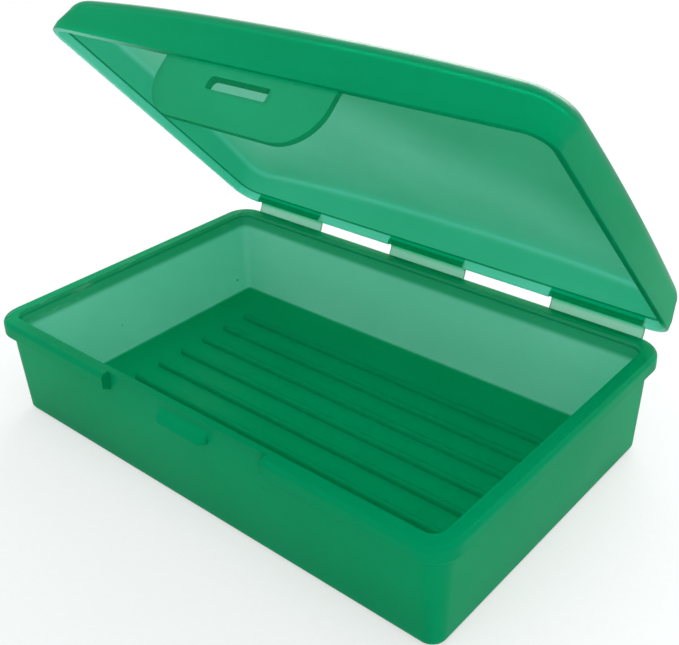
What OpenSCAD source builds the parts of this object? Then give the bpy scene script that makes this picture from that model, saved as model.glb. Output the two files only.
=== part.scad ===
// Covered soap dish: a rectangular tray and a domed lid, shown partly open.
// The origin is the centre of the tray's underside. +X runs along the length,
// the flexible hinge straps are at the back (+Y), the snap tab is at the front.

/* [Dish] */
// Length of the tray's rim
rim_l = 110; // [100:1:120]
// Width of the tray's rim
rim_w = 71; // [64:1:80]
// Corner radius of the rim, seen from above
corner_r = 5.5; // [5:0.1:8]
// Opening of the lid in the shown position, in degrees
open_deg = 47; // [40:1:55]

/* [Tray] */
// Height of the tray up to the top of its rim
tray_h = 21.5; // [19:0.5:25]
// Wall thickness of the tray
tray_wall = 1.65; // [1.4:0.05:1.9]
// Thickness of the tray's floor
floor_t = 1.6; // [1.2:0.1:2.2]
// Lean of the tray's walls, in mm for each mm of height
wall_lean = 0.06; // [0.04:0.005:0.09]
// Radius of the edge between the wall and the underside
base_r = 1.2; // [0.6:0.1:1.6]
// Radius of the corner between the floor and the inner wall
floor_r = 0.8; // [0.4:0.1:1.2]

/* [Rim of the tray] */
// Height of the rim's outer face
rim_t = 3; // [2.6:0.1:3.4]
// Overhang of the rim past the wall below it
rim_over = 1.6; // [1.4:0.1:1.8]
// Fall of the rim's underside towards the wall
under_drop = 0.8; // [0.5:0.1:1.2]
// Rounding of the rim's upper outer edge
rim_r = 0.95; // [0.6:0.05:1]
// Rounding of the rim's lower outer edge
rim_low_r = 0.3; // [0.2:0.05:0.5]
// Depth of the step inside the mouth of the tray
lip_h = 0.9; // [0.5:0.1:1.4]
// Width of the step inside the mouth of the tray
lip_w = 0.35; // [0.2:0.05:0.6]

/* [Floor ribs] */
// Spacing of the ribs across the floor
rib_pitch = 6.5; // [5.5:0.5:8]
// Number of ribs on each side of the middle one
ribs_per_side = 3; // [1:1:3]
// Distance from the ends of the ribs to the ends of the rim
rib_end = 15; // [10:1:25]
// Width of a rib at the floor
rib_w = 1.6; // [1.2:0.1:2.4]
// Height of a rib above the floor
rib_h = 1.1; // [0.6:0.1:1.6]

/* [Lid] */
// Height of the middle of the lid above its mouth
lid_h = 10.8; // [9:0.1:16]
// Overhang of the lid past the tray's rim at the front
front_over = 1.5; // [1.2:0.1:1.8]
// Overhang of the lid past the tray's rim at the left and right ends
end_over = 0.5; // [0:0.1:1]
// Corner radius of the lid's mouth
mouth_r = 4.8; // [4:0.1:7]
// Wall thickness of the lid
lid_wall = 1.65; // [1.4:0.05:1.8]
// Fall of the lid's top from the middle to the left and right ends
arch_x = 2.1; // [0.6:0.1:2.6]
// Fall of the lid's top from the middle to the front and the back
arch_y = 1; // [0.2:0.1:1.6]
// Radius of the rounding between the lid's wall and its top
edge_r = 3.2; // [2.4:0.1:4]
// Corner radius of the lid at the top of its wall
lid_r = 6.9; // [6:0.1:11]
// Height of the thinner band inside the mouth of the lid
band_h = 1.8; // [1.4:0.1:2.2]
// Depth of the thinner band inside the mouth of the lid
band_in = 0.35; // [0.2:0.05:0.4]
// Gap between the closed lid and the tray
lid_gap = 0.3; // [0.2:0.05:0.6]

/* [Tab and catch] */
// Width of the snap tab
tab_w = 38.8; // [30:0.2:46]
// Reach of the snap tab below the mouth of the lid
tab_l = 10.9; // [9:0.1:14]
// Thickness of the snap tab
tab_t = 1.2; // [0.9:0.05:1.3]
// Radius of the tab's two lower corners
tab_r = 8; // [4:0.5:8]
// Gap beside the tab in the recess of the rim
tab_gap = 0.4; // [0.3:0.1:1]
// Length of the slot in the tab
slot_l = 13.6; // [10:0.2:18]
// Height of the slot in the tab
slot_h = 2.4; // [2.2:0.1:3]
// Depth of the slot's upper edge below the rim's top
slot_z = 1.9; // [1.8:0.1:2.4]
// Reach of the catch into the slot, past the tab's inner face
catch_hold = 0.4; // [0.2:0.05:0.5]
// Gap between the catch and each end of the slot
catch_gap = 0.5; // [0.3:0.1:1]

/* [Hinge straps] */
// Width of a hinge strap
strap_w = 19.6; // [14:0.2:24]
// Distance from the ends of the rim to the outer straps
strap_end = 5.2; // [3:0.2:12]
// Thickness of a hinge strap
film_t = 0.4; // [0.3:0.05:0.5]
// Distance of the turning axis behind the rim
axis_out = 1.6; // [1.5:0.05:2.2]
// Depth of the strap's root below the rim's top
root_z = 1.35; // [1.3:0.05:1.6]
// Height of the strap notches in the lid
notch_h = 1.2; // [1:0.1:1.3]
// Depth of the strap notches in the lid
notch_in = 0.8; // [0.75:0.05:0.85]
// Gap between a strap and each end of its notch
notch_gap = 0.3; // [0.2:0.1:0.6]

/* [Hidden] */

half_l = rim_l / 2;
half_w = rim_w / 2;

// Insets of the tray's faces from the rim's outer face, and their heights
under_z = tray_h - rim_t;
wall_z = under_z - under_drop;
out_low = rim_over + wall_lean * wall_z;
in_top = rim_over + tray_wall;
in_low = in_top + wall_lean * (tray_h - lip_h - floor_t);
lean_deg = atan(wall_lean);
under_slope = under_drop / rim_over;

// Corner centres of the tray: the plan radius leaves room for the floor's inner corner
plan_r = max(corner_r, in_low + floor_r);
side_x = half_l - plan_r;
side_y = half_w - plan_r;

// Lid: its half sizes and middle, its mouth when closed, its thin band and turning axis
lid_x = half_l + end_over;
lid_y = half_w + front_over / 2;
lid_mid = -front_over / 2;
mouth_z = tray_h + lid_gap;
band_t = lid_wall - band_in;
arc_steps = 6;
side_steps = 8;
ring_n = 4 * (arc_steps + side_steps);
axis_y = half_w + axis_out;
axis_z = tray_h + lid_gap / 2;

strap_pitch = half_l - strap_end - strap_w / 2;
rib_l = rim_l - 2 * rib_end;
recess_y = rim_over - half_w;
recess_w = tab_w + 2 * tab_gap;

// Inner face of the tab, in line with the lid's inner wall, and the catch behind it
tab_y = lid_wall - half_w - front_over;
catch_y = tab_y - catch_hold;
catch_low = tray_h - slot_z - slot_h + 0.3;
catch_top = tray_h - slot_z + 0.4;

// Points on an arc about c, from angle a0 to a1
function arc(c, r, a0, a1, n) =
    [for (i = [0:n]) let (a = a0 + (a1 - a0) * i / n) c + r * [cos(a), sin(a)]];

// Middle of corner q of a rounded rectangle, counted from +X +Y
function corner(q, x, y) = [(q == 0 || q == 3) ? x : -x, q < 2 ? y : -y];

// Section of the tray's side, measured outwards from the corner's centre
function tray_section() = concat(
    [[0, 0]],
    arc([plan_r - out_low - base_r, base_r], base_r, -90, -lean_deg, 4),
    [[plan_r - rim_over, wall_z]],
    arc([plan_r - rim_low_r, under_z + rim_low_r * (sqrt(1 + pow(under_slope, 2)) - under_slope)],
        rim_low_r, atan(under_slope) - 90, 0, 3),
    arc([plan_r - rim_r, tray_h - rim_r], rim_r, 0, 90, 5),
    [[plan_r - in_top + lip_w, tray_h]],
    [[plan_r - in_top + lip_w, tray_h - lip_h]],
    [[plan_r - in_top, tray_h - lip_h]],
    arc([plan_r - in_low - floor_r, floor_t + floor_r], floor_r, -lean_deg, -90, 3),
    [[0, floor_t]]);

// Lays a (y, z) outline across the dish and extrudes it along X
module along_x(length) {
    rotate([90, 0, 90])
        linear_extrude(length, center = true)
            children();
}

// Carries the section in children() round the rounded rectangle
module around() {
    for (q = [0:3]) {
        translate(corner(q, side_x, side_y))
            rotate(90 * q)
                rotate_extrude(angle = 90)
                    children();
        rotate(90 * q)
            translate([q % 2 == 0 ? side_x : side_y, 0, 0])
                rotate([90, 0, 0])
                    linear_extrude(2 * (q % 2 == 0 ? side_y : side_x), center = true)
                        children();
    }
}

// Half of a rib's rounded section, from its middle outwards
module rib_half() {
    polygon([for (i = [0:5]) [rib_w / 2 * i / 5, rib_h * sqrt(1 - pow(i / 5, 2))], [0, 0]]);
}

// A straight rib with round ends
module rib() {
    for (s = [0, 180])
        rotate(s) {
            translate([rib_l / 2, 0, 0])
                rotate(-90)
                    rotate_extrude(angle = 180)
                        rib_half();
            rotate([90, 0, 90])
                linear_extrude(rib_l, center = true)
                    rib_half();
        }
}

// The catch that the slot of the tab drops over
module catch_bump() {
    along_x(slot_l - 2 * catch_gap)
        polygon([
            [recess_y + 0.6, catch_top],
            [recess_y, catch_top],
            [catch_y, catch_low + 0.3],
            [catch_y, catch_low],
            [recess_y + 0.6, catch_low]]);
}

module tray() {
    color("mediumseagreen") {
        difference() {
            union() {
                around()
                    polygon(tray_section());
                translate([-side_x, -side_y, 0])
                    cube([2 * side_x, 2 * side_y, floor_t]);
            }
            translate([-recess_w / 2, recess_y - rim_over - 1, wall_z - 0.6])
                cube([recess_w, rim_over + 1, rim_t + 3]);
        }
        for (i = [-ribs_per_side:ribs_per_side])
            translate([0, i * rib_pitch, floor_t])
                rib();
        catch_bump();
    }
}

// Height of the lid's domed top above its mouth
function arch(p) = lid_h - arch_x * pow(abs(p[0] / lid_x), 2.5) - arch_y * pow(p[1] / lid_y, 2);

// Outline of the lid at one level: round corners joined by divided sides
function outline(x, y, r) = [
    for (q = [0:3])
        let (
            a = corner(q, x - r, y - r) + r * [cos(90 * q + 90), sin(90 * q + 90)],
            n = (q + 1) % 4,
            b = corner(n, x - r, y - r) + r * [cos(90 * n), sin(90 * n)])
        each concat(
            arc(corner(q, x - r, y - r), r, 90 * q, 90 * q + 90, arc_steps),
            [for (k = [1:side_steps - 1]) a + (b - a) * k / side_steps])];

// One ring of the lid: [inset, corner radius, scale, share of the arch, height]
function ring(s) = [
    for (p = outline(lid_x - s[0], lid_y - s[0], s[1]) * s[2])
        [p[0], p[1], s[3] * (arch(p) - edge_r) + s[4]]];

// Rings of the rounded edge of one skin, then of its top, from the wall inwards
function skin(inset) =
    let (r = edge_r - inset)
    concat(
        [for (a = [0:15:90])
            [inset + r * (1 - cos(a)), lid_r - inset - r * (1 - cos(a)) / 2, 1, 1, r * sin(a)]],
        [for (k = [0.75, 0.5, 0.25]) [edge_r, lid_r - inset - r / 2, k, 1, r]]);

function reversed(v) = [for (i = [len(v) - 1:-1:0]) v[i]];

// The lid's shell: down the outer skin, round the mouth and up the inner skin
function lid_rings() = concat(
    reversed(skin(0)),
    [[0, mouth_r, 1, 0, band_h], [0, mouth_r, 1, 0, 0]],
    [[band_t, mouth_r - band_t, 1, 0, 0], [band_t, mouth_r - band_t, 1, 0, band_h]],
    [[lid_wall, mouth_r - lid_wall, 1, 0, band_h]],
    skin(lid_wall));

module lid_shell() {
    rings = lid_rings();
    last = (len(rings) - 1) * ring_n;
    middle = len(rings) * ring_n;
    polyhedron(
        points = concat(
            [for (s = rings) each ring(s)],
            [[0, 0, lid_h], [0, 0, lid_h - lid_wall]]),
        faces = [
            for (i = [0:len(rings) - 2], j = [0:ring_n - 1])
                let (a = i * ring_n + j, b = i * ring_n + (j + 1) % ring_n)
                each [[a, b, b + ring_n], [a, b + ring_n, a + ring_n]],
            for (j = [0:ring_n - 1])
                let (k = (j + 1) % ring_n)
                each [[middle, k, j], [middle + 1, last + j, last + k]]]);
}

// Outline of the tab, hanging down from the mouth of the lid
module tab_outline() {
    difference() {
        polygon(concat(
            [[-tab_w / 2, band_h + 0.6]],
            arc([tab_r - tab_w / 2, tab_r - tab_l], tab_r, 180, 270, 8),
            arc([tab_w / 2 - tab_r, tab_r - tab_l], tab_r, 270, 360, 8),
            [[tab_w / 2, band_h + 0.6]]));
        translate([-slot_l / 2, -lid_gap - slot_z - slot_h])
            square([slot_l, slot_h]);
    }
}

// Turns children() about the hinge axis from the closed to the shown position
module opened() {
    translate([0, axis_y, axis_z])
        rotate([-open_deg, 0, 0])
            translate([0, -axis_y, -axis_z])
                children();
}

module lid() {
    color("mediumseagreen")
        opened()
            difference() {
                translate([0, 0, mouth_z]) {
                    translate([0, lid_mid, 0])
                        lid_shell();
                    translate([0, tab_y, 0])
                        rotate([90, 0, 0])
                            linear_extrude(tab_t)
                                tab_outline();
                }
                for (i = [-1:1])
                    translate([i * strap_pitch - strap_w / 2 - notch_gap, half_w - notch_in, mouth_z - 1])
                        cube([strap_w + 2 * notch_gap, notch_in + 1, notch_h + 1]);
            }
}

// A (y, z) offset from the hinge axis on the lid, turned to the shown position
function turned(p) = [
    p[0] * cos(open_deg) + p[1] * sin(open_deg),
    p[1] * cos(open_deg) - p[0] * sin(open_deg)];

// The film's middle line runs from its root over a bend to the ceiling of the notch
film_root = [half_w, tray_h - root_z];
film_bend = [axis_y, axis_z + 0.5];
film_tip = [axis_y, axis_z] + turned([-axis_out - notch_in / 2, notch_h + lid_gap / 2]);

function film_point(t) =
    pow(1 - t, 2) * film_root + 2 * t * (1 - t) * film_bend + pow(t, 2) * film_tip;

function film_normal(t) =
    let (d = (1 - t) * (film_bend - film_root) + t * (film_tip - film_bend))
    [-d[1], d[0]] / norm(d);

function film_side(s) = concat(
    [film_root + s * [0, 0.7 * film_t]],
    [for (i = [1:7]) film_point(i / 8) + s * film_t / 2 * film_normal(i / 8)],
    [film_tip - s * 0.8 * film_t * turned([1, 0])]);

module hinge_strap(i) {
    color("palegreen")
        translate([i * strap_pitch, 0, 0])
            along_x(strap_w)
                polygon(concat(film_side(1), reversed(film_side(-1))));
}

tray();
lid();
hinge_strap(-1);  // hinge_strap_left
hinge_strap(0);  // hinge_strap_middle
hinge_strap(1);  // hinge_strap_right
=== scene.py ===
import math

import bmesh
import bpy
from mathutils import Matrix, Vector


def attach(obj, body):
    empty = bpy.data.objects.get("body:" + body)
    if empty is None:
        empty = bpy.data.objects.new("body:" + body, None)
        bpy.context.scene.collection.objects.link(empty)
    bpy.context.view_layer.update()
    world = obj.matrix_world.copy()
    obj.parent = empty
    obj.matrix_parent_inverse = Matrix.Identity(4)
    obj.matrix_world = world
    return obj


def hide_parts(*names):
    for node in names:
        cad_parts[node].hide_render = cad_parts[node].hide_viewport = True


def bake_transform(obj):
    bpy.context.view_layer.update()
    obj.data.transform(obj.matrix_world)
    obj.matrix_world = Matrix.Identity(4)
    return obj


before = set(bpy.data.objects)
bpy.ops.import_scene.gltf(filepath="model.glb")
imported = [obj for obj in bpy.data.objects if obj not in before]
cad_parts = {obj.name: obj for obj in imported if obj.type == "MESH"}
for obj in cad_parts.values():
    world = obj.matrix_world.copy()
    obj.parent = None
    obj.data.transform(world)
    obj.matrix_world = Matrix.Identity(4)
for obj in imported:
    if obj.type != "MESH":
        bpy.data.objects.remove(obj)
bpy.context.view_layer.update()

MM = 0.001

# Sizes in mm and degrees, the same as those of the solids
HALF_L, HALF_W = 55.0, 35.5
PLAN_R = 5.5
OPEN_DEG = 47.0
AXIS = (37.1, 21.65)

# Tray
TRAY_H, FLOOR_T, TRAY_WALL, WALL_LEAN = 21.5, 1.6, 1.65, 0.06
BASE_R, FLOOR_R = 1.2, 0.8
RIM_OVER, RIM_T, UNDER_DROP = 1.6, 3.0, 0.8
RIM_R, RIM_LOW_R = 0.95, 0.3
LIP_H, LIP_W = 0.9, 0.35
RIB_W, RIB_H, RIB_L, RIB_PITCH, RIBS_PER_SIDE = 1.6, 1.1, 80.0, 6.5, 3

# Lid
LID_H, LID_WALL, EDGE_R, LID_R, MOUTH_R = 10.8, 1.65, 3.2, 6.9, 4.8
ARCH_X, ARCH_Y, ARCH_POWER = 2.1, 1.0, 2.5
FRONT_OVER, END_OVER = 1.5, 0.5
BAND_H, BAND_IN = 1.8, 0.35
LID_GAP = 0.3

# Tab, slot and catch
TAB_W, TAB_L, TAB_T, TAB_R = 38.8, 10.9, 1.2, 8.0
SLOT_L, SLOT_H, SLOT_Z = 13.6, 2.4, 1.9
TAB_GAP, CATCH_HOLD, CATCH_GAP = 0.4, 0.4, 0.5

# Hinge straps
STRAP_W, STRAP_PITCH, FILM_T = 19.6, 40.0, 0.4
ROOT_Z, NOTCH_H, NOTCH_IN, NOTCH_GAP = 1.35, 1.2, 0.8, 0.3

# Values that follow from the sizes
WALL_Z = TRAY_H - RIM_T - UNDER_DROP
RECESS_Y = RIM_OVER - HALF_W
RECESS_W = TAB_W + 2 * TAB_GAP
RECESS_LOW = WALL_Z - 0.6
TAB_Y = LID_WALL - HALF_W - FRONT_OVER
MOUTH_Z = TRAY_H + LID_GAP
CATCH_TOP = TRAY_H - SLOT_Z + 0.4
CATCH_LOW = TRAY_H - SLOT_Z - SLOT_H + 0.3

# How far edges are rounded, how deep the tab and the catch are sunk into what carries them,
# and how far a cut reaches past a surface
TRAY_EDGE, LID_EDGE, FILM_EDGE = 0.18, 0.15, 0.08
SUNK = 0.6
PAST = 1.0


# Shapes

def arc(c, r, a0, a1, n):
    """Points on an arc about c, from angle a0 to a1 in degrees."""
    angles = [math.radians(a0 + (a1 - a0) * i / n) for i in range(n + 1)]
    return [(c[0] + r * math.cos(a), c[1] + r * math.sin(a)) for a in angles]


def rounded(x, y, r, corner_steps=12, side_steps=16):
    """A rounded rectangle of half sizes x and y, its corners joined by divided sides."""
    centres = [(x - r, y - r), (r - x, y - r), (r - x, r - y), (x - r, r - y)]
    corners = [arc(c, r, 90 * q, 90 * q + 90, corner_steps) for q, c in enumerate(centres)]
    points = []
    for q, corner in enumerate(corners):
        (x0, y0), (x1, y1) = corner[-1], corners[(q + 1) % 4][0]
        points += corner
        for k in range(1, side_steps):
            t = k / side_steps
            points.append((x0 + (x1 - x0) * t, y0 + (y1 - y0) * t))
    return points


def placed(name, data):
    """A new object in the scene that holds the data."""
    obj = bpy.data.objects.new(name, data)
    bpy.context.scene.collection.objects.link(obj)
    return obj


def closed_mesh(name, rings):
    """A closed skin over rings of equal count, in mm, with a flat face at each end."""
    n = len(rings[0])
    points = [tuple(v * MM for v in p) for ring in rings for p in ring]
    faces = [[i * n + j, i * n + (j + 1) % n, (i + 1) * n + (j + 1) % n, (i + 1) * n + j]
             for i in range(len(rings) - 1) for j in range(n)]
    last = (len(rings) - 1) * n
    faces += [list(range(n))[::-1], [last + j for j in range(n)]]
    mesh = bpy.data.meshes.new(name)
    mesh.from_pydata(points, [], faces)
    work = bmesh.new()
    work.from_mesh(mesh)
    bmesh.ops.recalc_face_normals(work, faces=work.faces)
    work.to_mesh(mesh)
    work.free()
    return placed(name, mesh)


def bar(name, outline, x0, x1):
    """A (y, z) outline carried along X."""
    return closed_mesh(name, [[(x, y, z) for y, z in outline] for x in (x0, x1)])


def block(name, low, high):
    """A box from one corner to the other."""
    (x0, y0, z0), (x1, y1, z1) = low, high
    return bar(name, [(y0, z0), (y1, z0), (y1, z1), (y0, z1)], x0, x1)


def baked(obj):
    """Applies an object's modifiers to its mesh."""
    graph = bpy.context.evaluated_depsgraph_get()
    mesh = bpy.data.meshes.new_from_object(obj.evaluated_get(graph))
    obj.modifiers.clear()
    obj.data = mesh


def combine(obj, other, operation):
    """Joins the other solid to the object, or cuts it out, and removes it."""
    mod = obj.modifiers.new("join", "BOOLEAN")
    mod.operation = operation
    mod.solver = "EXACT"
    mod.object = other
    baked(obj)
    bpy.data.objects.remove(other)


def finished(obj, width, angle=32, segments=3, sharp_angle=50, face_weight=80):
    """Rounds the sharp edges slightly and shades the rest smoothly."""
    bevel = obj.modifiers.new("edges", "BEVEL")
    bevel.width = width * MM
    bevel.segments = segments
    bevel.limit_method = "ANGLE"
    bevel.angle_limit = math.radians(angle)
    bevel.use_clamp_overlap = True
    baked(obj)
    for poly in obj.data.polygons:
        poly.use_smooth = True
    obj.data.set_sharp_from_angle(angle=math.radians(sharp_angle))
    normals = obj.modifiers.new("normals", "WEIGHTED_NORMAL")
    normals.keep_sharp = True
    normals.weight = face_weight
    baked(obj)


# Tray

def tray_section():
    """Distance from the corner's centre, and height, from the underside to the rim and the floor."""
    lean = math.degrees(math.atan(WALL_LEAN))
    out_low = RIM_OVER + WALL_LEAN * WALL_Z
    in_top = RIM_OVER + TRAY_WALL
    in_low = in_top + WALL_LEAN * (TRAY_H - LIP_H - FLOOR_T)
    under_z = TRAY_H - RIM_T
    slope = UNDER_DROP / RIM_OVER
    low_z = under_z + RIM_LOW_R * (math.sqrt(1 + slope ** 2) - slope)
    under_deg = math.degrees(math.atan(slope)) - 90
    step = PLAN_R - in_top + LIP_W
    below_rim = 6
    return (arc((PLAN_R - out_low - BASE_R, BASE_R), BASE_R, -90, -lean, 7)
            + [(PLAN_R - RIM_OVER - WALL_LEAN * below_rim, WALL_Z - below_rim),
               (PLAN_R - RIM_OVER, WALL_Z)]
            + arc((PLAN_R - RIM_LOW_R, low_z), RIM_LOW_R, under_deg, 0, 5)
            + arc((PLAN_R - RIM_R, TRAY_H - RIM_R), RIM_R, 0, 90, 8)
            + [(step, TRAY_H), (step, TRAY_H - LIP_H), (PLAN_R - in_top, TRAY_H - LIP_H)]
            + arc((PLAN_R - in_low - FLOOR_R, FLOOR_T + FLOOR_R), FLOOR_R, -lean, -90, 6))


def rib(y, sunk=0.3, steps=8):
    """A low bar with round ends, standing a little inside the floor."""
    levels = [(RIB_W / 2, -sunk), (RIB_W / 2, 0)]
    for k in range(1, steps):
        a = math.radians(90 / steps * k)
        levels.append((RIB_W / 2 * math.cos(a), RIB_H * math.sin(a)))
    rings = []
    for r, z in levels:
        ends = arc((RIB_L / 2, y), r, -90, 90, steps) + arc((-RIB_L / 2, y), r, 90, 270, steps)
        rings.append([(px, py, FLOOR_T + z) for px, py in ends])
    return closed_mesh("rib", rings)


def catch(soft=1.6, inside=0.12, nose=0.35, steps=16, face_steps=12):
    """The bump that the tab's slot snaps over, its face and its ends running out softly."""
    half = SLOT_L / 2 - CATCH_GAP
    full = RECESS_Y - TAB_Y + CATCH_HOLD
    chamfer = ((0.06, 0.12), (0.25, 0.0))
    rings = []
    for k in range(-steps, steps + 1):
        x = half * math.sin(math.pi / 2 * k / steps)
        end = min(1.0, (half - abs(x)) / soft)
        out = (full + inside) * math.sqrt(end * (2 - end)) - inside
        outline = [(RECESS_Y + SUNK, CATCH_TOP)]
        for i in range(face_steps + 1):
            u = i / face_steps
            outline.append((RECESS_Y - out * u * u * (3 - 2 * u),
                            CATCH_TOP + (CATCH_LOW + nose - CATCH_TOP) * u))
        outline += [(RECESS_Y - out + back, CATCH_LOW + up) for back, up in chamfer]
        outline.append((RECESS_Y + SUNK, CATCH_LOW))
        rings.append([(x, y, z) for y, z in outline])
    return closed_mesh("catch", rings)


def make_tray():
    rings = []
    for d, z in tray_section():
        ring = rounded(HALF_L - PLAN_R + d, HALF_W - PLAN_R + d, d)
        rings.append([(x, y, z) for x, y in ring])
    tray = closed_mesh("tray_skin", rings)
    for i in range(-RIBS_PER_SIDE, RIBS_PER_SIDE + 1):
        combine(tray, rib(i * RIB_PITCH), "UNION")
    cut = block("recess", (-RECESS_W / 2, -HALF_W - PAST, RECESS_LOW),
                (RECESS_W / 2, RECESS_Y, TRAY_H + 2 * PAST))
    combine(tray, cut, "DIFFERENCE")
    combine(tray, catch(), "UNION")
    finished(tray, TRAY_EDGE)
    return tray


# Lid

def arch(x, y):
    """Height of the domed top above the mouth."""
    lx, ly = HALF_L + END_OVER, HALF_W + FRONT_OVER / 2
    return LID_H - ARCH_X * abs(x / lx) ** ARCH_POWER - ARCH_Y * (y / ly) ** 2


def lid_ring(inset, radius, scale, share, height):
    """One level of the lid: the share says how much of the arch's height it follows."""
    lx, ly = HALF_L + END_OVER - inset, HALF_W + FRONT_OVER / 2 - inset
    ring = []
    for x, y in rounded(lx, ly, radius):
        x, y = x * scale, y * scale
        ring.append((x, y - FRONT_OVER / 2, share * (arch(x, y) - EDGE_R) + height))
    return ring


def lid_skin(inset, edge_steps=12):
    """Rings of the rounded edge of one skin, then of its top, from the wall inwards."""
    r = EDGE_R - inset
    rings = []
    for k in range(edge_steps + 1):
        a = math.radians(90 / edge_steps * k)
        back = r * (1 - math.cos(a))
        rings.append(lid_ring(inset + back, LID_R - inset - back / 2, 1, 1, r * math.sin(a)))
    for scale in (0.93, 0.85, 0.75, 0.64, 0.52, 0.4, 0.28, 0.16, 0.06):
        rings.append(lid_ring(EDGE_R, LID_R - inset - r / 2, scale, 1, r))
    return rings


def lid_shell(lip=0.3):
    """The outer skin, the rounded mouth with its thinner band, and the inner skin."""
    band_t = LID_WALL - BAND_IN
    mouth = [lid_ring(0, MOUTH_R, 1, 0, BAND_H)]
    for middle, start in ((lip, 180), (band_t - lip, 270)):
        for inset, z in arc((middle, lip), lip, start, start + 90, 6):
            mouth.append(lid_ring(inset, MOUTH_R - inset, 1, 0, z))
    mouth += [lid_ring(inset, MOUTH_R - inset, 1, 0, BAND_H) for inset in (band_t, LID_WALL)]
    rings = lid_skin(0)[::-1] + mouth + lid_skin(LID_WALL)
    return closed_mesh("lid_skin", [[(x, y, z + MOUTH_Z) for x, y, z in ring] for ring in rings])


def slot_cut():
    """The slot's hollow: its left and upper walls slope, and its corners are rounded."""
    left_slope, top_slope, radii = 0.35, 0.5, (0.3, 0.9, 0.4, 0.3)
    top = TRAY_H - SLOT_Z
    face = TAB_Y - TAB_T
    rings = []
    for y, deep in ((face - PAST, 0.0), (face + 0.1, 0.0), (TAB_Y, 1.0), (TAB_Y + PAST, 1.0)):
        x0, x1 = -SLOT_L / 2 + left_slope * deep, SLOT_L / 2
        z0, z1 = top - SLOT_H, top - top_slope * deep
        corners = ((x1, z1, 1, 1), (x0, z1, -1, 1), (x0, z0, -1, -1), (x1, z0, 1, -1))
        ring = []
        for q, ((x, z, sx, sz), r) in enumerate(zip(corners, radii)):
            ring += arc((x - sx * r, z - sz * r), r, 90 * q, 90 * q + 90, 5)
        rings.append([(x, y, z) for x, z in ring])
    return closed_mesh("slot", rings)


def tab():
    """The snap tab with its slot, hanging from the front of the mouth."""
    root = BAND_H + SUNK
    outline = [(-TAB_W / 2, root)]
    outline += arc((TAB_R - TAB_W / 2, TAB_R - TAB_L), TAB_R, 180, 270, 16)
    outline += arc((TAB_W / 2 - TAB_R, TAB_R - TAB_L), TAB_R, 270, 360, 16)
    outline += [(TAB_W / 2, root)]
    plate = closed_mesh("tab", [[(x, y, z + MOUTH_Z) for x, z in outline]
                                for y in (TAB_Y, TAB_Y - TAB_T)])
    combine(plate, slot_cut(), "DIFFERENCE")
    return plate


def make_lid():
    lid = lid_shell()
    combine(lid, tab(), "UNION")
    half = STRAP_W / 2 + NOTCH_GAP
    for i in (-1, 0, 1):
        x = i * STRAP_PITCH
        notch = block("notch", (x - half, HALF_W - NOTCH_IN, MOUTH_Z - PAST),
                      (x + half, HALF_W + PAST, MOUTH_Z + NOTCH_H))
        combine(lid, notch, "DIFFERENCE")
    finished(lid, LID_EDGE)
    turn = Matrix.Rotation(-math.radians(OPEN_DEG), 4, "X")
    pivot = Matrix.Translation((0, AXIS[0] * MM, AXIS[1] * MM))
    lid.data.transform(pivot @ turn @ pivot.inverted())
    return lid


# Hinge straps

def turned(p):
    """A (y, z) offset from the axis on the lid, turned to the shown position."""
    a = math.radians(OPEN_DEG)
    return Vector((p[0] * math.cos(a) + p[1] * math.sin(a),
                   p[1] * math.cos(a) - p[0] * math.sin(a)))


# The middle line of a strap: its root on the tray, the point that it bends towards, a little above
# the axis, and its end on the lid
BEND_UP = 0.5
FILM_ROOT = Vector((HALF_W, TRAY_H - ROOT_Z))
FILM_BEND = Vector((AXIS[0], AXIS[1] + BEND_UP))
FILM_TIP = Vector(AXIS) + turned((HALF_W - AXIS[0] - NOTCH_IN / 2, NOTCH_H + LID_GAP / 2))


def film_point(t):
    return (1 - t) ** 2 * FILM_ROOT + 2 * t * (1 - t) * FILM_BEND + t ** 2 * FILM_TIP


def film_normal(t):
    d = (1 - t) * (FILM_BEND - FILM_ROOT) + t * (FILM_TIP - FILM_BEND)
    return Vector((-d[1], d[0])).normalized()


def make_strap(name, x, steps=24):
    """A film that thins towards its fold, with fuller roots on the tray and the lid."""
    root_t, tip_t, fold_t, thicker = 0.7 * FILM_T, 0.8 * FILM_T, 0.8, 0.4

    def side(s):
        points = [FILM_ROOT + s * Vector((0, root_t))]
        for i in range(1, steps):
            t = i / steps
            half = FILM_T / 2 * (fold_t + thicker * abs(2 * t - 1))
            points.append(film_point(t) + s * half * film_normal(t))
        return points + [FILM_TIP - s * tip_t * turned((1, 0))]

    outline = side(1) + side(-1)[::-1]
    strap = bar(name, outline, x - STRAP_W / 2, x + STRAP_W / 2)
    finished(strap, FILM_EDGE, 50)
    return strap


# Materials: these colours are 0 to 255 screen values
# The deep green that the dark masks mix in is painted shade
PAINTED_SHADE_GREEN = (0, 104, 58)
CLOUD, FILM_CLOUD = (150, 230, 210), (190, 230, 215)
# The pale of the painted highlight on the tray's left rim
HIGHLIGHT_PALE = (200, 235, 215)
SPECK = (8, 60, 40)

# How the plastic refracts, reflects and absorbs light
REFRACTION = 1.14
REFLECT_LEVEL, REFLECT_TINT = 0.07, (0.35, 0.85, 0.65, 1)
COAT_ROUGHNESS = 0.14
ABSORB_COLOUR, ABSORB_DENSITY = (0.0, 0.88, 0.74, 1), 500.0


def linear(r, g, b):
    """A screen colour as the shader takes it."""
    def one(v):
        v = v / 255
        return v / 12.92 if v <= 0.04045 else ((v + 0.055) / 1.055) ** 2.4
    return (one(r), one(g), one(b), 1.0)


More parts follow.
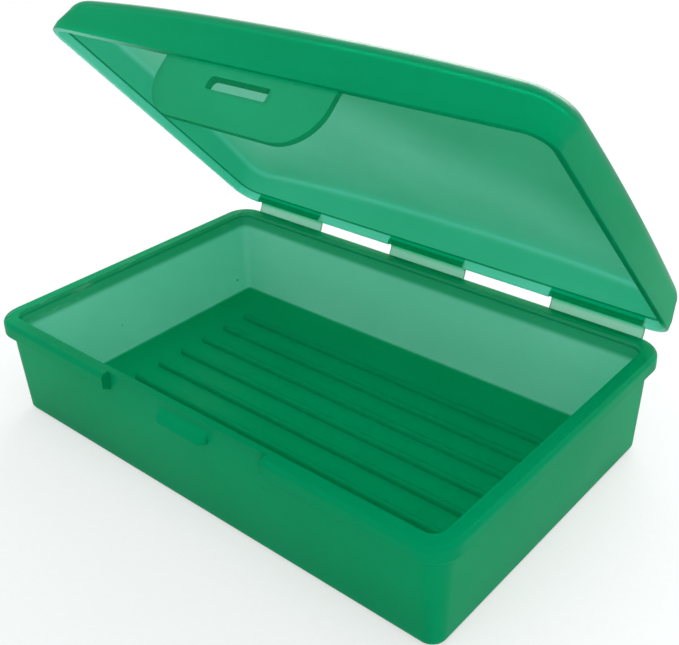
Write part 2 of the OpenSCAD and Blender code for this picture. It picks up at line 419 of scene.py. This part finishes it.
class Nodes:
    """Short ways to add the nodes that the materials and the world share."""

    def __init__(self, owner, output="ShaderNodeOutputMaterial"):
        owner.use_nodes = True
        self.tree = owner.node_tree
        self.tree.nodes.clear()
        self.out = self.add(output)

    def add(self, kind, **props):
        node = self.tree.nodes.new(kind)
        for key, value in props.items():
            setattr(node, key, value)
        return node

    def put(self, socket, value):
        """Links a socket, or sets a constant."""
        if isinstance(value, bpy.types.NodeSocket):
            self.tree.links.new(value, socket)
        else:
            socket.default_value = value

    def fill(self, node, values):
        """Fills the named inputs of a node and returns the node."""
        for name, value in values.items():
            self.put(node.inputs[name], value)
        return node

    def math(self, op, a, b=0.0):
        node = self.add("ShaderNodeMath", operation=op)
        self.put(node.inputs[0], a)
        self.put(node.inputs[1], b)
        return node.outputs[0]

    def mul(self, a, *others):
        for b in others:
            a = self.math("MULTIPLY", a, b)
        return a

    def most(self, a, *others):
        for b in others:
            a = self.math("MAXIMUM", a, b)
        return a

    def rest(self, a):
        """What is left of 1."""
        return self.math("SUBTRACT", 1.0, a)

    def size(self, a):
        return self.math("ABSOLUTE", a)

    def band(self, value, low, high, to_low=0.0, to_high=1.0):
        """A soft step: to_low below low, to_high above high."""
        node = self.add("ShaderNodeMapRange", interpolation_type="SMOOTHSTEP")
        for socket, v in zip(node.inputs, (value, low, high, to_low, to_high)):
            self.put(socket, v)
        return node.outputs[0]

    def zone(self, place, low, high, to_low=0.0, to_high=1.0):
        """A soft step between two places in mm."""
        return self.band(place, low * MM, high * MM, to_low, to_high)

    def mix(self, factor, a, b, blend="MIX"):
        node = self.add("ShaderNodeMix", data_type="RGBA", blend_type=blend)
        self.put(node.inputs[0], factor)
        self.put(node.inputs[6], a)
        self.put(node.inputs[7], b)
        return node.outputs[2]

    def noise(self, vector, scale, detail=2.0, roughness=0.5):
        node = self.add("ShaderNodeTexNoise")
        self.fill(node, {"Vector": vector, "Scale": scale, "Detail": detail,
                         "Roughness": roughness})
        return node.outputs["Fac"]

    def parts(self, vector):
        node = self.add("ShaderNodeSeparateXYZ")
        self.put(node.inputs[0], vector)
        return node.outputs

    def dot(self, a, b):
        node = self.add("ShaderNodeVectorMath", operation="DOT_PRODUCT")
        self.put(node.inputs[0], a)
        self.put(node.inputs[1], b)
        return node.outputs["Value"]

    def mapping(self, vector, scale, rotation=(0, 0, 0)):
        node = self.add("ShaderNodeMapping")
        return self.fill(node, {"Vector": vector, "Scale": scale, "Rotation": rotation}).outputs[0]


def inner_faces(n, coord, middle):
    """1 on faces that look to the hollow's middle, 0 on the outer ones; also the true normal."""
    geometry = n.add("ShaderNodeNewGeometry")
    turn = n.add("ShaderNodeVectorTransform", vector_type="NORMAL",
                 convert_from="WORLD", convert_to="OBJECT")
    n.put(turn.inputs[0], geometry.outputs["Normal"])
    normal = n.add("ShaderNodeVectorMath", operation="SCALE")
    n.put(normal.inputs[0], turn.outputs[0])
    n.put(normal.inputs["Scale"], n.rest(n.mul(geometry.outputs["Backfacing"], 2.0)))
    away = n.add("ShaderNodeVectorMath", operation="SUBTRACT")
    n.put(away.inputs[0], [v * MM for v in middle])
    n.put(away.inputs[1], coord)
    unit = n.add("ShaderNodeVectorMath", operation="NORMALIZE")
    n.put(unit.inputs[0], away.outputs[0])
    return n.band(n.dot(normal.outputs[0], unit.outputs[0]), 0.0, 0.2), normal.outputs[0]


def from_strap(n, x):
    """Distance along X from the middle of the nearest strap."""
    return n.math("PINGPONG", n.size(x), STRAP_PITCH / 2 * MM)


def tray_masks(n, coord):
    """Where the tray is painted pale and where painted dark: its inner walls are paler than its
    thick rim and its floor, as painted light coming through the thin walls; the foot of its long
    walls, the recess's ends and the step in its mouth are darker, as painted shade."""
    inner, normal = inner_faces(n, coord, (0, 0, 12))
    x, y, z = n.parts(coord)
    far_x, far_y = n.size(x), n.size(y)
    inner = n.mul(inner, n.zone(y, -33.2, -32.6))
    # Painted light: the inner walls are paler, as light comes through the thin wall; up at the thick
    # rim and on the floor the tone stays deeper, painted shade
    below_rim = n.zone(z, 17.4, 18.8, 1.0, 0.14)
    wall = n.band(n.dot(normal, (0, 0, 1)), 0.3, 0.9, 1.0, 0.0)
    off_ribs = n.most(n.zone(far_x, 44, 46), n.zone(far_y, 24, 26))
    pale = n.mul(inner, below_rim, wall, off_ribs)

    # Painted shade: darker towards the foot of the front and back walls, in the recess's ends and
    # along the step in the mouth
    long_side = n.band(n.size(n.dot(normal, (0, 1, 0))), 0.6, 0.95)
    foot_shade = n.mul(n.rest(inner), long_side, n.zone(z, 2, 15, 0.16, 0.0))
    end = RECESS_W / 2
    ends = n.mul(n.zone(far_x, end - 1.5, end), n.zone(far_x, end + 0.05, end + 0.35, 1.0, 0.0),
                 n.zone(y, -33.6, -33.3, 1.0, 0.0), n.zone(z, 17.2, 17.8, 0.0, 0.25))
    step_z = TRAY_H - LIP_H
    step = n.mul(n.zone(z, step_z - 0.25, step_z - 0.1, 0.0, 0.5),
                 n.zone(z, step_z + 0.05, step_z + 0.2, 1.0, 0.0), inner)
    return pale, n.most(foot_shade, ends, step), 0.0, 0.0


def rim_highlight(n, coord):
    """A painted highlight along the inside of the tray's rim on its left side, broken into pale
    patches by noise.
    """
    x, _, z = n.parts(coord)
    patches = n.band(n.noise(n.mapping(coord, (900, 110, 700)), 1.0, 3.0, 0.6), 0.56, 0.68)
    return n.mul(patches, n.zone(x, -51.2, -51.5), n.zone(x, -53.8, -53.2),
                 n.zone(z, 18.2, 19.2, 0.0, 0.28))


def lid_masks(n, coord):
    """Where the lid is painted pale, as painted light coming through the thin plastic: its top from
    inside, less so towards its front and right edges where shade is painted, and the band at its
    mouth. Where it is painted dark, as painted shade: at that band's step, at the mouth's front and
    right sides, and round the tab and its slot. Also where it is matt, at the mouth's face, and
    glossy, on the outer top."""
    turn = Matrix.Rotation(-math.radians(OPEN_DEG), 3, "X")
    pivot = Vector((0, *AXIS))
    up = turn @ Vector((0, 0, 1))
    back = turn @ Vector((0, 1, 0))
    middle = pivot + turn @ (Vector((0, 0, MOUTH_Z + 4)) - pivot)
    inner, normal = inner_faces(n, coord, middle)

    # Places on the lid as if it were shut: height above the mouth, and depth from front to back
    x = n.parts(coord)[0]
    down = n.mul(n.dot(normal, tuple(up)), -1.0)
    mouth_at = (pivot.dot(up) - AXIS[1] + MOUTH_Z) * MM
    height = n.math("SUBTRACT", n.dot(coord, tuple(up)), mouth_at)
    depth = n.math("SUBTRACT", n.dot(coord, tuple(back)), (pivot.dot(back) - AXIS[0]) * MM)

    # Painted light on the top's inside, fading to a deeper tone towards the front and right edges as
    # painted shade
    aslant = n.math("SUBTRACT", depth, n.mul(x, 0.6))
    top = n.mul(inner, n.band(down, 0.4, 0.95, 0.4, 1.0), n.zone(aslant, -26, 4, 0.36, 1.0))
    # Painted light in the thin band at the mouth; at its right and front sides and beside the straps
    # it is taken off, painted shade
    faces_down = n.band(down, 0.3, 0.9)
    mouth = n.mul(n.most(inner, faces_down), n.zone(height, -0.6, -0.3),
                  n.zone(height, BAND_H - 0.15, BAND_H + 0.05, 1.0, 0.0))
    at_right = n.mul(n.zone(x, 51, 53), n.zone(depth, 28, 33, 1.0, 0.0))
    at_front = n.mul(n.zone(depth, -33.5, -32, 1.0, 0.0), n.zone(x, -46, -10))
    half = STRAP_W / 2
    at_strap = n.mul(n.zone(from_strap(n, x), half - 0.1, half + 0.2, 1.0, 0.0),
                     n.zone(depth, 28, 31), n.zone(height, BAND_H + 0.05, BAND_H + 0.1, 1.0, 0.0))
    pale = n.most(top, n.mul(mouth, n.rest(n.most(at_right, at_front))))
    tab_face = n.zone(height, -0.9, -0.3, 0.06, 0.0)
    pale = n.most(n.mul(pale, n.rest(at_strap)), tab_face)

    # Painted shade: a dark line along the band's step, round the tab's edges, and along the mouth at
    # its right and front sides
    step = n.mul(n.zone(height, BAND_H - 0.16, BAND_H - 0.06),
                 n.zone(height, BAND_H + 0.08, BAND_H + 0.2, 0.85, 0.0), inner)
    across = n.size(n.dot(normal, tuple(back)))
    rim_of_tab = n.mul(n.zone(height, -0.8, -0.4, 0.4, 0.0), n.band(across, 0.7, 0.97, 1.0, 0.0))
    shaded = n.mul(mouth, n.most(n.mul(at_right, 0.35), n.mul(at_front, 0.25)))
    dark = n.most(step, rim_of_tab, shaded)
    matt = n.most(rim_of_tab, n.mul(faces_down, n.zone(height, 0.6, 0.9, 1.0, 0.0)))
    glossy = n.mul(n.rest(inner), n.band(down, -0.75, -0.55, 1.0, 0.0),
                   n.zone(height, 5, 6, 0.0, 0.7))
    return n.mul(pale, n.rest(dark)), dark, matt, glossy


def film_masks(n, coord):
    """The straps are paler low down, a painted highlight, and greener towards the lid, painted shade
    in the hollow of the fold; at their cut ends they are darker, painted shade, and duller.
    """
    x, _, z = n.parts(coord)
    half = STRAP_W / 2
    ends = n.zone(from_strap(n, x), half - 0.2, half - 0.08, 0.0, 0.55)
    return n.zone(z, 21.9, 22.9), ends, ends, 0.0


def specks(n, coord, scale=160.0, left_out=0.78):
    """A few small dark grains in the plastic: most cells hold none."""
    cells = n.add("ShaderNodeTexVoronoi")
    n.fill(cells, {"Vector": coord, "Scale": scale})
    chosen = n.math("GREATER_THAN", n.parts(cells.outputs["Color"])[0], left_out)
    return n.mul(n.band(cells.outputs["Distance"], 0.03, 0.052, 0.75, 0.0), chosen)


def moulded(name, outer, inner, cloud, clear, rough, masks, highlight_marks=None):
    """Translucent moulded plastic: faint clouds and flow marks, fine scuffs and a few specks, with
    painted light and painted shade mixed into its colour.
    """
    mat = bpy.data.materials.new(name)
    n = Nodes(mat)
    coord = n.add("ShaderNodeTexCoord").outputs["Object"]
    broad = n.noise(coord, 42.0, 3.0, 0.55)
    cloudy = n.noise(coord, 230.0, 4.0, 0.6)
    grain = n.noise(coord, 2400.0, 2.0, 0.5)
    flow = n.noise(n.mapping(coord, (18, 120, 120), (0.1, 0.3, 0.2)), 1.0, 3.0, 0.6)
    streak = n.noise(n.mapping(coord, (25, 1100, 1100), (0.2, 0.1, 0.45)), 1.0, 3.0, 0.6)
    scuffs = n.band(streak, 0.64, 0.74)

    pale, dark, matt, glossy = masks(n, coord)
    # Painted light and shade: the first mask moves the tone between the two given colours, and the
    # dark mask mixes in painted shade
    tone = n.mix(pale, linear(*outer), linear(*inner))
    tone = n.mix(dark, tone, linear(*PAINTED_SHADE_GREEN))
    tone = n.mix(n.band(broad, 0.35, 0.68, 0.0, 0.16), tone, linear(*cloud), "MULTIPLY")
    tone = n.mix(n.band(flow, 0.45, 0.75, 0.0, 0.08), tone, linear(*cloud), "MULTIPLY")
    # A painted highlight, where the material is given one: pale patches on the tray's left rim
    if highlight_marks:
        tone = n.mix(highlight_marks(n, coord), tone, linear(*HIGHLIGHT_PALE))
    tone = n.mix(specks(n, coord), tone, linear(*SPECK))

    rougher = n.band(broad, 0.3, 0.7, rough, rough + 0.08)
    rougher = n.math("ADD", rougher, n.mul(scuffs, 0.12))
    rougher = n.most(rougher, n.band(matt, 0.05, 0.3, 0.0, 0.9))
    relief = n.math("ADD", n.mul(cloudy, 0.8), n.mul(grain, 0.12))
    relief = n.math("SUBTRACT", relief, n.mul(scuffs, 0.15))
    bump = n.add("ShaderNodeBump")
    n.fill(bump, {"Strength": 0.1, "Distance": 0.0002, "Height": relief})

    shader = n.add("ShaderNodeBsdfPrincipled")
    n.fill(shader, {
        "Base Color": tone,
        "Roughness": rougher,
        "Normal": bump.outputs[0],
        "IOR": REFRACTION,
        "Specular IOR Level": REFLECT_LEVEL,
        "Specular Tint": REFLECT_TINT,
        "Transmission Weight": clear,
        "Coat Weight": glossy,
        "Coat Roughness": COAT_ROUGHNESS})
    absorb = n.add("ShaderNodeVolumeAbsorption")
    n.fill(absorb, {"Color": ABSORB_COLOUR, "Density": ABSORB_DENSITY})
    n.fill(n.out, {"Surface": shader.outputs[0], "Volume": absorb.outputs[0]})
    return mat


# The dressed pieces

# The tray's and lid's second colours are the pale of painted light coming through the plastic
tray_green = moulded("tray_green", (0, 174, 120), (192, 254, 240), CLOUD, 0.5, 0.3,
                     tray_masks, rim_highlight)
lid_green = moulded("lid_green", (0, 187, 134), (200, 255, 246), CLOUD, 0.62, 0.3, lid_masks)
# The straps' two tones: pale as a painted highlight, green as painted shade
film = moulded("thin_film", (180, 232, 208), (60, 215, 165), FILM_CLOUD, 0.6, 0.34, film_masks)

tray = make_tray()
tray.data.materials.append(tray_green)
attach(tray, "tray")
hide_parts("tray")

lid = make_lid()
lid.data.materials.append(lid_green)
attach(lid, "lid")
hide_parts("lid")

for i, word in ((-1, "left"), (0, "middle"), (1, "right")):
    strap = make_strap("film_" + word, i * STRAP_PITCH)
    strap.data.materials.append(film)
    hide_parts("hinge_strap_" + word)
    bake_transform(strap)


# Stage, lights and camera

def seen_rays(n):
    """1 for rays from the camera, and for those that a surface reflects or lets through."""
    rays = n.add("ShaderNodeLightPath").outputs
    through = n.most(rays["Is Glossy Ray"], rays["Is Transmission Ray"])
    return n.most(rays["Is Camera Ray"], through)


def pale_floor(shadow_near=0.12, shadow_far=0.35):
    """White, with a soft shadow round the object and none farther off."""
    mat = bpy.data.materials.new("pale_floor")
    n = Nodes(mat)
    reach = n.add("ShaderNodeVectorMath", operation="LENGTH")
    coord = n.add("ShaderNodeTexCoord").outputs["Object"]
    n.put(reach.inputs[0], coord)
    grain = n.band(n.noise(coord, 900.0, 2.0), 0.3, 0.7)
    shader = n.add("ShaderNodeBsdfPrincipled")
    n.fill(shader, {
        "Base Color": n.mix(grain, (0.87, 0.87, 0.87, 1), (0.89, 0.89, 0.89, 1)),
        "Roughness": 0.9,
        "Specular IOR Level": 0.0})
    glow = n.add("ShaderNodeEmission")
    n.fill(glow, {"Color": (1, 1, 1, 1), "Strength": 1.0})
    farther = n.band(reach.outputs["Value"], shadow_near, shadow_far, 0.55, 1.0)
    blend = n.add("ShaderNodeMixShader")
    for socket, value in zip(blend.inputs, (n.mul(seen_rays(n), farther), shader.outputs[0],
                                            glow.outputs[0])):
        n.put(socket, value)
    n.put(n.out.inputs["Surface"], blend.outputs[0])
    return mat


def make_floor(reach=3.0, z=-0.15 * MM):
    mesh = bpy.data.meshes.new("floor")
    corners = [(-reach, -reach, z), (reach, -reach, z), (reach, reach, z), (-reach, reach, z)]
    mesh.from_pydata(corners, [], [(0, 1, 2, 3)])
    mesh.materials.append(pale_floor())
    obj = placed("floor", mesh)


def make_world():
    """White wherever it is seen, and a softer room light on everything else."""
    world = bpy.data.worlds.new("studio")
    bpy.context.scene.world = world
    n = Nodes(world, "ShaderNodeOutputWorld")
    room, white = n.add("ShaderNodeBackground"), n.add("ShaderNodeBackground")
    n.fill(room, {"Color": (0.95, 0.98, 1, 1), "Strength": 0.8})
    n.fill(white, {"Color": (1, 1, 1, 1), "Strength": 1.0})
    either = n.add("ShaderNodeMixShader")
    for socket, value in zip(either.inputs, (seen_rays(n), room.outputs[0], white.outputs[0])):
        n.put(socket, value)
    n.put(n.out.inputs["Surface"], either.outputs[0])


def softbox(name, place, size, power, aim_z=0.03):
    """A rectangular lamp that faces the dish, its place and size in metres."""
    lamp = bpy.data.lights.new(name, "AREA")
    lamp.shape = "RECTANGLE"
    lamp.size, lamp.size_y = size
    lamp.energy = power
    obj = placed(name, lamp)
    obj.location = place
    aim = Vector((0, 0, aim_z)) - Vector(place)
    obj.rotation_euler = aim.to_track_quat("-Z", "Y").to_euler()


def make_camera():
    """The viewpoint: focal length and shifts are in pixels of a frame of the given width, and
    the distances from the middle of the rim are in mm."""
    frame_w, focal, shift_x, shift_y = 679, 1030.15, 9.56, -90.41
    sensor, near, far = 36.0, 0.01, 20.0
    away, sideways, upwards = 197.33, 3.02, 18.8
    azimuth, elevation, roll = math.radians(41.89), math.radians(24.66), math.radians(-2.16)
    back = Vector((math.sin(azimuth) * math.cos(elevation),
                   -math.cos(azimuth) * math.cos(elevation), math.sin(elevation)))
    level = Vector((0, 0, 1)).cross(back).normalized()
    high = back.cross(level)
    right = math.cos(roll) * level + math.sin(roll) * high
    up = math.cos(roll) * high - math.sin(roll) * level
    place = Vector((0, 0, TRAY_H)) + away * back + sideways * right + upwards * up
    cam = bpy.data.cameras.new("camera")
    cam.sensor_width = sensor
    cam.lens = focal * sensor / frame_w
    cam.shift_x = shift_x / frame_w
    cam.shift_y = shift_y / frame_w
    cam.clip_start = near
    cam.clip_end = far
    obj = placed("camera", cam)
    turn = Matrix((right, up, back)).transposed().to_4x4()
    obj.matrix_world = Matrix.Translation(place * MM) @ turn
    bpy.context.scene.camera = obj


make_floor()
make_world()
softbox("key", (0.12, -0.3, 0.85), (1.2, 1.0), 2.4)
softbox("side", (0.7, -0.2, 0.35), (0.6, 0.5), 0.6)
softbox("back", (-0.1, 0.75, 0.5), (1.2, 0.8), 6.5)
make_camera()
bpy.context.scene.view_settings.view_transform = "Standard"

bpy.context.view_layer.update()
